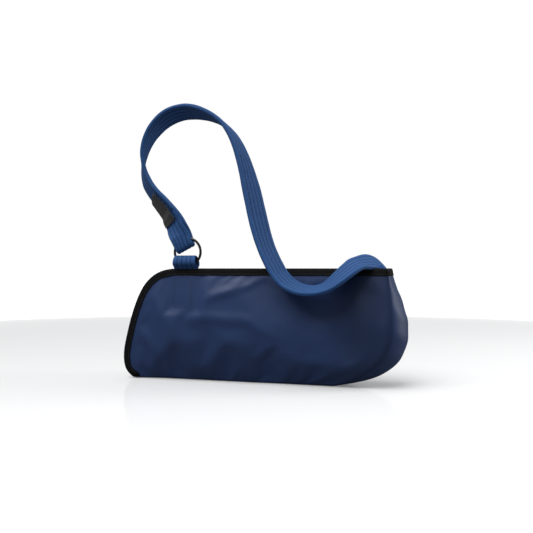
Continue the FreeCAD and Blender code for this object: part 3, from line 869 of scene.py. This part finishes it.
strap = {
    "width": 38.0, "thick": 6.4, "freeThick": 4.0, "tipThick": 2.6, "foldRadius": 2.4, "ringY": -28.5,
    "fold": (-113.5, 205.0), "foldLean": 27.0, "foldLeft": 13.5, "foldRight": 16.5, "turn": 15.0,
    "tailThick": 4.0, "sections": 300,
    "route": [
        (-113.5, -22.9, 205.0, 90), (-119, -22.3, 218.5, 90), (-125, -22, 233, 64), (-139.5, -20.5, 256, 43),
        (-161, -18, 280, 30), (-180.5, -15, 305.5, 25), (-188, -13, 332, 11), (-186, -12, 356, -3.5),
        (-169, -12, 388, -20), (-144, -12, 407.5, -27), (-110, -14, 413.3, -21.5), (-79, -17, 405.8, -7),
        (-52, -20.5, 389.8, 7), (-33, -24.5, 366, 19), (-17, -29, 330, 29), (-4, -34, 287, 41),
        (6.5, -39, 247, 44), (20, -45, 205, 40), (34, -50, 176.8, 38), (52, -54, 153, 33),
        (72, -56, 141.7, 22), (92, -56.5, 139.5, 13), (108, -56.5, 143.3, 13), (121, -55.5, 151, 18),
        (132, -51.5, 160.5, 23), (141, -45, 168.8, 26), (149, -35, 175.3, 26), (157, -22.5, 179, 25),
        (165, -12.5, 181, 24), (172.5, -3.5, 179.9, 20), (179.5, 1.5, 176, 16),
    ],
}


def ribProfile(ribs, samples):
    # Half thickness (1 is full) and painted shade mask for the grooves across a band, a from -1 to 1.
    a = np.linspace(-1, 1, samples)
    half = 1.0 / ribs
    centre = (np.floor((a + 1) / (2 * half)) + 0.5) * 2 * half - 1
    away = np.clip(np.abs(a - centre) / half, 0, 1)
    height = 1 - 0.26 * away**3
    # painted shade: darkest at the bottom of each groove between the ribs
    grooveShade = np.clip((away - 0.62) / 0.38, 0, 1) ** 1.5
    edge = np.clip((np.abs(a) - 0.88) / 0.12, 0, 1)
    height *= np.sqrt(np.maximum(0, 1 - edge**2))
    grooveShade *= np.clip((0.9 - np.abs(a)) / 0.06, 0, 1)
    return a, height, grooveShade


def bandSweep(name, middle, across, outward, left, right, thick, uvStart=0.0, ribs=5, samples=51, flat=False):
    # A closed band of webbing through its frames. left and right are the reach each side, thick the
    # full thickness.
    a, height, grooveShade = ribProfile(ribs, samples)
    if flat:
        edge = np.clip((np.abs(a) - 0.94) / 0.06, 0, 1)
        height = np.sqrt(np.maximum(0, 1 - edge**2))
        grooveShade = 0 * a
    count = len(middle) - 1
    around = 2 * samples - 2
    order = np.concatenate([np.arange(samples), np.arange(samples - 2, 0, -1)])
    side = np.concatenate([np.ones(samples), -np.ones(samples - 2)])
    run = np.concatenate([[0], np.cumsum(np.linalg.norm(np.diff(middle, axis=0), axis=1))]) + uvStart

    def indices(u, v):
        return np.round(u * count).astype(int), np.round(v * around).astype(int) % around

    def place(u, v):
        k, j = indices(u, v)
        b = order[j]
        reach = np.where(a[b] > 0, a[b] * left[k], a[b] * right[k])
        lift = side[j] * height[b] * thick[k] / 2
        return middle[k] + across[k] * reach[:, None] + outward[k] * lift[:, None]

    def uv(u, v):
        k, j = indices(u, v)
        reach = np.where(a[order[j]] > 0, a[order[j]] * left[k], a[order[j]] * right[k])
        return np.stack([reach + 40, run[k]], 1)

    piece = gridSurface(name, count, around, place, uv)
    # the painted shade in the grooves is set by each point's place in its section
    row = np.arange(len(piece.data.vertices)) // (count + 1)
    addAttribute(piece, "grooveShade", grooveShade[order[row % around]])
    editAll(piece, weld, closeEnds, faceOut)
    shadeSmooth(piece, 70)
    return piece


def strapFrames():
    # Frames of the strap from the bottom of its turn round the ring to its loose end at the elbow.
    route = strap["route"]
    line = SmoothLine([r[:3] for r in route])
    rolls = np.array([r[3] for r in route], float)
    s = np.linspace(0, line.length, strap["sections"])
    middle = line.at(s)
    travel = line.along(s)
    turn = np.radians(strap["turn"]) * np.minimum(1, s / 80)
    depth = np.stack([-np.sin(turn), np.cos(turn), 0 * turn], 1)
    depth = unit(depth - travel * (depth * travel).sum(1, keepdims=True))
    side = np.cross(travel, depth)
    roll = np.radians(np.interp(s, line.stations, rolls))
    kernel = np.array([1, 2, 3, 2, 1]) / 9.0
    roll = np.convolve(np.pad(roll, 2, mode="edge"), kernel, mode="valid")
    across = depth * np.cos(roll)[:, None] + side * np.sin(roll)[:, None]
    outward = side * np.cos(roll)[:, None] - depth * np.sin(roll)[:, None]
    return line, s, middle, travel, across, outward


def foldFrames(share):
    # The turn round the ring's wire: share 0 is the front, free side and 1 is the back, main side.
    lean = math.radians(strap["foldLean"])
    upward = np.array([-math.sin(lean), 0, math.cos(lean)])
    width = np.cross(upward, np.array([0, 1.0, 0]))
    centre = np.array([strap["fold"][0], strap["ringY"], strap["fold"][1]])
    angle = np.pi * (1 - share)
    thick = strap["freeThick"] + (strap["thick"] - strap["freeThick"]) * share
    radial = np.cos(angle)[:, None] * np.array([0, 1.0, 0]) - np.sin(angle)[:, None] * upward
    middle = centre + radial * (strap["foldRadius"] + thick / 2)[:, None]
    return middle, np.tile(width, (len(share), 1)), radial, thick, upward


strapLine, strapS, strapMiddle, strapTravel, strapAcross, strapOut = strapFrames()


def reachAt(length, side):
    short = strap["foldLeft"] if side == "left" else strap["foldRight"]
    return short + (strap["width"] / 2 - short) * np.minimum(1, length / 45.0)


def frameAt(length):
    def pick(values):
        return np.stack([np.interp(length, strapS, values[:, k]) for k in range(3)], -1)
    return pick(strapMiddle), unit(pick(strapTravel)), unit(pick(strapAcross)), unit(pick(strapOut))


def buildStrap():
    share = np.linspace(0.5, 1, 9)
    m1, w1, o1, t1, upward = foldFrames(share)
    keep = strapS > 3.0
    m2, w2, o2 = strapMiddle[keep], strapAcross[keep], strapOut[keep]
    t2 = np.full(keep.sum(), strap["thick"])
    l2 = reachAt(strapS[keep], "left")
    r2 = reachAt(strapS[keep], "right")
    # over the lip of the elbow end and down its inside
    endM, endT, endA, endO = m2[-1], strapTravel[-1], w2[-1], o2[-1]
    level = np.array([0, 1.0, 0])
    tailDepth = pouch["wall"] + 1.6

    def inner(up, depth):
        crest = stripPlace(np.array([1 + up]), np.array([0.0]))[0]
        nxt = stripPlace(np.array([1 + min(1, up + 0.01)]), np.array([0.0]))[0]
        prv = stripPlace(np.array([1 + up - 0.01]), np.array([0.0]))[0]
        run = unit(nxt - prv)
        return crest - np.array([run[2], 0, -run[0]]) * depth

    high = inner(0.955, tailDepth + 4.2)
    knots = [endM - endT * 6, endM, endM + endT * 5 + np.array([0, 0, -1.0])]
    crest = (knots[2] + high) / 2 + np.array([1.4, 0, 1.8])
    knots += [crest, high, inner(0.84, tailDepth + 2.6), inner(0.72, tailDepth + 2.4)]
    bend = SmoothLine(knots)
    s = np.linspace(6.2, bend.length, 60)
    m3 = bend.at(s)
    t3 = bend.along(s)
    mixIn = np.clip((s - 6) / 22, 0, 1)[:, None]
    mixIn = mixIn * mixIn * (3 - 2 * mixIn)
    w3 = endA * (1 - mixIn) + level * mixIn
    w3 = unit(w3 - t3 * (w3 * t3).sum(1, keepdims=True))
    o3 = np.cross(t3, w3)
    if (o3[0] * endO).sum() < 0:
        o3 = -o3
    thin = strap["thick"] + (strap["tailThick"] - strap["thick"]) * np.clip((s - 6) / 24, 0, 1)
    l3 = np.full(len(s), strap["width"] / 2 - 0.4)
    o1 = np.where(((o1[-1] * o2[0]).sum() < 0), -o1, o1)
    middle = np.vstack([m1[:-1], m2, m3])
    across = np.vstack([w1[:-1], w2, w3])
    outward = np.vstack([o1[:-1], o2, o3])
    left = np.concatenate([np.full(8, strap["foldLeft"]), l2, l3])
    right = np.concatenate([np.full(8, strap["foldRight"]), r2, l3])
    thick = np.concatenate([t1[:-1], t2, thin])
    # the near edge settles on the lip where the strap crosses it
    settle = np.exp(-(((middle[:, 0] - 164) / 11) ** 2)) * (np.arange(len(middle)) > 200)
    tilt = 0.17 * settle
    lowered = across + outward * tilt[:, None]
    middle = middle - outward * (1.6 * settle)[:, None]
    across = unit(lowered)
    outward = unit(outward - across * (outward * across).sum(1, keepdims=True))
    # slight give in the padding, so that the edges aren't ruled
    run = np.concatenate([[0], np.cumsum(np.linalg.norm(np.diff(middle, axis=0), axis=1))])
    thick = thick * (1 + 0.03 * np.sin(run * 0.11) + 0.02 * np.sin(run * 0.29 + 1))
    piece = bandSweep("shoulderStrap", middle, across, outward, left, right, thick)
    setMaterial(piece, strapWebbing)
    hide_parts("strap_core", "strap_cover", "strap_anchor_tail", "strap_anchor_bend")
    return piece


def ringLift(length):
    closed = 0.8
    return closed + (2 * strap["foldRadius"] + 0.6 - closed) * np.maximum(0, 1 - np.maximum(0, length - 16.0) / 22.0)


def buildFreeEnd():
    share = np.linspace(0.5, 0, 9)
    m1, w1, o1, t1, upward = foldFrames(share)
    length = np.linspace(4.0, 52.0, 44)
    m, t, w, o = frameAt(length)
    thick = strap["freeThick"] + (strap["tipThick"] - strap["freeThick"]) * (length - 3) / 49
    m2 = m + o * (strap["thick"] / 2 + ringLift(length) + thick / 2)[:, None]
    o1 = -o1 if (o1[-1] * o[0]).sum() < 0 else o1
    lead = m1[-1] + upward * 1.6
    middle = np.vstack([m1, [lead], m2[1:]])
    across = np.vstack([w1, [w1[-1]], w[1:]])
    outward = np.vstack([o1, [o1[-1]], o[1:]])
    left = np.concatenate([np.full(10, strap["foldLeft"]), reachAt(length[1:], "left")])
    right = np.concatenate([np.full(10, strap["foldRight"]), reachAt(length[1:], "right")])
    tk = np.concatenate([t1, [t1[-1]], thick[1:]])
    for values in (middle, across, outward):
        values[6:16] = smoothOpen(values)[6:16]
    across, outward = unit(across), unit(outward)
    piece = bandSweep("freeEnd", middle, across, outward, left, right, tk)
    setMaterial(piece, strapWebbing)
    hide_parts("strap_free_end")
    return piece


def smoothOpen(values, passes=6):
    v = values.copy()
    for k in range(passes):
        v[1:-1] = (v[:-2] + 2 * v[1:-1] + v[2:]) / 4
    return v


shoulderStrap = buildStrap()
freeEnd = buildFreeEnd()
print("strap and its free end made")


def buildHookTab():
    length = np.concatenate([np.linspace(41, 52, 10), np.linspace(53, 61, 8), np.linspace(62, 95, 24)])
    m, t, w, o = frameAt(length)
    over = 0.8 + strap["tipThick"] + 0.3
    flat = 1.5
    lift = np.interp(length, [41, 52, 56, 61, 95], [over, over, over * 0.75, flat, flat])
    thick = np.full(len(length), 1.7)
    corner = np.minimum(1, np.minimum(length - 41, 95 - length) / 3.0)
    shrink = 3.0 * (1 - np.sqrt(np.clip(1 - (1 - corner) ** 2, 0, 1)))
    middle = m + o * (strap["thick"] / 2 + lift + thick / 2)[:, None]
    tab = bandSweep("hookTab", middle, w, o, 14.5 + 3.6 - shrink, 14.5 - 3.6 - shrink, thick, flat=True,
                    samples=31)
    setMaterial(tab, hookTape)
    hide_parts("hook_tab")
    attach(tab, "free_end")
    tipM, tipT, tipW, tipO = frameAt(np.array([43.5, 49.5]))
    rows = []
    for k in (0, 1):
        top = tipM[k] + tipO[k] * (strap["thick"] / 2 + over + 1.75)
        rows.append(np.stack([top + tipW[k] * 14.5, top - tipW[k] * 6.5]))
    for k, row in enumerate(rows):
        places = np.linspace(row[0], row[1], 8)
        thread = stitchRow("tabThread%d" % k, places, np.tile(unit(row[1] - row[0]), (8, 1)),
                           np.tile(tipO[k], (8, 1)), blackThread, length=2.2, every=3.0)
        if k == 0:
            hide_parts("hook_tab_stitches")
        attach(thread, "free_end")
    return tab


def buildLoopPatch():
    length = np.linspace(58, 98, 26)
    m, t, w, o = frameAt(length)
    middle = m + o * (strap["thick"] / 2 + 0.7)
    patch = bandSweep("loopPatch", middle, w, o, np.full(26, 16.5), np.full(26, 8.5), np.full(26, 0.9),
                      flat=True, samples=31)
    setMaterial(patch, loopTape)
    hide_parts("loop_patch")
    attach(patch, "strap")
    return patch


hookTab = buildHookTab()
loopPatch = buildLoopPatch()
foldPoint = toFrame([[strap["fold"][0], strap["ringY"], strap["fold"][1]]])[0]
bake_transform(freeEnd)
strapStart = toFrame([[176, 0, 175]])[0]
strapEnd = toFrame([[96, 0, 175]])[0]
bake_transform(shoulderStrap)
print("hook and loop fastening made")


keeper = {"x": -109.5, "width": 38.0, "radius": 8.7, "axisZ": 181.0, "thick": 1.7}


def buildKeeper():
    # One length of webbing: up from inside the panel, round over the ring and down again.
    y = strap["ringY"]
    r = keeper["radius"] + 0.1
    z = keeper["axisZ"]

    def wall(height, depth):
        return float(-halfWidth(np.array([keeper["x"]]), np.array([height]))[0]) + depth

    path = [
        (wall(121, 2.1), 121), (wall(135, 2.1), 135), (wall(150, 2.1), 150), (wall(162, 2.0), 162),
        (y - 1.6, 170.5), (y - 3.6, 173.2), (y - r + 0.6, z - 3.6), (y - r, z + 0.6),
        (y - r * 0.74, z + r * 0.67), (y - 2.5, z + r * 0.97), (y + 2.5, z + r * 0.97),
        (y + r * 0.74, z + r * 0.67), (y + r, z + 0.6), (y + r - 0.6, z - 3.6),
        (y + 4.2, 173.2), (y + 1.9, 170.5), (wall(162, 3.4), 162), (wall(150, 3.4), 150),
        (wall(135, 3.4), 135), (wall(121, 3.4), 121),
    ]
    line = SmoothLine([(keeper["x"], a, b) for a, b in path])
    s = np.linspace(0, line.length, 120)
    middle = line.at(s)
    travel = line.along(s)
    across = np.tile(np.array([-1.0, 0, 0]), (len(s), 1))
    outward = np.cross(across, travel)
    half = np.full(len(s), keeper["width"] / 2)
    # the loop draws in a little at the top and its corners sit clear of the ring
    top = np.clip((middle[:, 2] - 176) / 14, 0, 1)
    left = half - 1.6 * top
    right = half - 2.6 * top
    # the sewn ends are pressed thin between the layers of the wall
    thin = np.interp(middle[:, 2], [160, 171], [1.0, keeper["thick"]])
    piece = bandSweep("ringKeeper", middle, across, outward, left, right, thin, ribs=5, samples=61)
    setMaterial(piece, strapWebbing)
    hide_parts("keeper_loop", "keeper_tails")
    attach(piece, "pouch")
    return piece


ringKeeper = buildKeeper()

# stitches that hold the keeper: a box on the outer cloth, read off the finished surface
outerPoints = readPoints(wallPieces["outer"])


def surfaceY(x, z, side):
    spot = toFrame([[x, 0, z]])[0]
    d = (outerPoints[:, 0] - spot[0]) ** 2 + (outerPoints[:, 2] - spot[2]) ** 2
    d = d + (side * (outerPoints[:, 1] - layout["moveY"] * layout["mm"]) < 0.01) * 1.0
    near = np.argsort(d)[:6]
    return outerPoints[near, 1].max() if side > 0 else outerPoints[near, 1].min()


def boxStitches():
    corners = [(-127, 113), (-99.5, 113), (-99.5, 158), (-127, 158), (-127, 113)]
    places = []
    for (x0, z0), (x1, z1) in zip(corners, corners[1:]):
        for k in range(12):
            x = x0 + (x1 - x0) * k / 12
            z = z0 + (z1 - z0) * k / 12
            places.append((x, surfaceY(x, z, -1) / layout["mm"] - layout["moveY"] - 0.12, z))
    places = np.array(places)
    outs = np.tile(np.array([0, -1.0, 0]), (len(places), 1))
    thread = stitchRow("keeperThread", places, np.gradient(places, axis=0), outs, navyThread,
                       length=2.6, thick=0.36, every=3.6)
    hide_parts("keeper_stitches")
    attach(thread, "pouch")


boxStitches()


def anchorThread():
    # The box of stitches on the strap's sewn end, inside the elbow end.
    co = readPoints(shoulderStrap) / layout["mm"] - np.array([layout["moveX"], layout["moveY"], 0])
    spots = []
    for z0, y0, z1, y1 in ((128, -13, 158, -13), (158, -13, 158, 13), (158, 13, 128, 13),
                           (128, 13, 128, -13)):
        for k in range(9):
            z = z0 + (z1 - z0) * k / 9
            y = y0 + (y1 - y0) * k / 9
            near = (np.abs(co[:, 1] - y) < 2.0) & (np.abs(co[:, 2] - z) < 2.0) & (co[:, 0] > 150)
            x = co[near, 0].min() if near.any() else 184.0
            spots.append((x - 0.1, y, z))
    spots = np.array(spots)
    outs = np.tile(np.array([-1.0, 0, 0]), (len(spots), 1))
    thread = stitchRow("anchorThread", spots, np.gradient(spots, axis=0), outs, blueThread,
                       length=2.6, thick=0.36, every=3.6)
    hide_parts("anchor_stitches")
    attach(thread, "pouch")


anchorThread()

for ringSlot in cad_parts["ring"].material_slots:
    ringSlot.material = ringCoating
print("keeper, ring and stitching done")


# floor, light and camera

def buildStage():
    deselectAll()
    bpy.ops.mesh.primitive_plane_add(size=120.0, location=(0, 0, 0))
    floor = bpy.context.object
    floor.name = "floor"
    material = bpy.data.materials.new("paleFloor")
    material.use_nodes = True
    tree = material.node_tree
    shader = tree.nodes["Principled BSDF"]
    path = tree.nodes.new("ShaderNodeLightPath")
    tone = tree.nodes.new("ShaderNodeMix")
    tone.data_type = "RGBA"
    tree.links.new(path.outputs["Is Camera Ray"], tone.inputs["Factor"])
    tone.inputs["A"].default_value = (0.16, 0.16, 0.17, 1)
    tone.inputs["B"].default_value = (0.92, 0.92, 0.92, 1)
    tree.links.new(tone.outputs["Result"], shader.inputs["Base Color"])
    shader.inputs["Roughness"].default_value = 0.12
    place = tree.nodes.new("ShaderNodeTexCoord")
    reach = tree.nodes.new("ShaderNodeVectorMath")
    reach.operation = "LENGTH"
    tree.links.new(place.outputs["Object"], reach.inputs[0])
    near = tree.nodes.new("ShaderNodeMapRange")
    near.inputs["From Min"].default_value = 0.15
    near.inputs["From Max"].default_value = 1.5
    near.inputs["To Min"].default_value = 0.4
    near.inputs["To Max"].default_value = 0.0
    tree.links.new(reach.outputs["Value"], near.inputs["Value"])
    tree.links.new(near.outputs["Result"], shader.inputs["Specular IOR Level"])
    shader.inputs["Emission Color"].default_value = (1, 1, 1, 1)
    tree.links.new(mathNode(tree, "MULTIPLY", path.outputs["Is Camera Ray"], 0.17),
                   shader.inputs["Emission Strength"])
    floor.data.materials.append(material)


def addLight(name, place, aim, size, power, tint=(1, 1, 1)):
    light = bpy.data.lights.new(name, "AREA")
    light.shape = "RECTANGLE"
    light.size, light.size_y = size
    light.energy = power
    light.color = tint
    lamp = bpy.data.objects.new(name, light)
    bpy.context.collection.objects.link(lamp)
    lamp.location = place
    lamp.rotation_euler = (Vector(aim) - Vector(place)).to_track_quat("-Z", "Y").to_euler()


buildStage()
addLight("topLight", (0.1, 0.3, 1.8), (0, 0, 0.1), (1.4, 0.8), 5)
addLight("rimLight", (1.3, 0.5, 0.5), (0.15, 0, 0.1), (0.4, 1.0), 7)


def addSun(name, aim, strength, spread):
    # A wide soft sun, so that the floor is evenly lit out to its edge.
    light = bpy.data.lights.new(name, "SUN")
    light.energy = strength
    light.angle = math.radians(spread)
    lamp = bpy.data.objects.new(name, light)
    bpy.context.collection.objects.link(lamp)
    lamp.rotation_euler = Vector(aim).to_track_quat("-Z", "Y").to_euler()


addSun("softSun", (0.34, 0.5, -1.12), 2.9, 50)


def buildWorld():
    # Dim light from all round, with a white backdrop behind the part.
    world = bpy.context.scene.world or bpy.data.worlds.new("studio")
    bpy.context.scene.world = world
    world.use_nodes = True
    tree = world.node_tree
    backdrop = tree.nodes["Background"]
    backdrop.inputs["Color"].default_value = (1, 1, 1, 1)
    backdrop.inputs["Strength"].default_value = 1.0
    around = tree.nodes.new("ShaderNodeBackground")
    around.inputs["Color"].default_value = (0.95, 0.97, 1, 1)
    around.inputs["Strength"].default_value = 0.24
    path = tree.nodes.new("ShaderNodeLightPath")
    mix = tree.nodes.new("ShaderNodeMixShader")
    tree.links.new(path.outputs["Is Camera Ray"], mix.inputs["Fac"])
    tree.links.new(around.outputs["Background"], mix.inputs[1])
    tree.links.new(backdrop.outputs["Background"], mix.inputs[2])
    tree.links.new(mix.outputs["Shader"], tree.nodes["World Output"].inputs["Surface"])


buildWorld()

cameraFacts = {"place": (274.6, -988.3, 170.0), "turn": 15.0, "lens": 45.45, "shiftY": 0.0047}
cameraData = bpy.data.cameras.new("camera")
cameraData.lens = cameraFacts["lens"]
cameraData.sensor_width = 36.0
cameraData.shift_y = cameraFacts["shiftY"]
camera = bpy.data.objects.new("camera", cameraData)
bpy.context.collection.objects.link(camera)
camera.location = toFrame([cameraFacts["place"]])[0]
camera.rotation_euler = (math.radians(90), 0, math.radians(cameraFacts["turn"]))
bpy.context.scene.camera = camera
bpy.context.scene.view_settings.view_transform = "Standard"
print("stage ready")
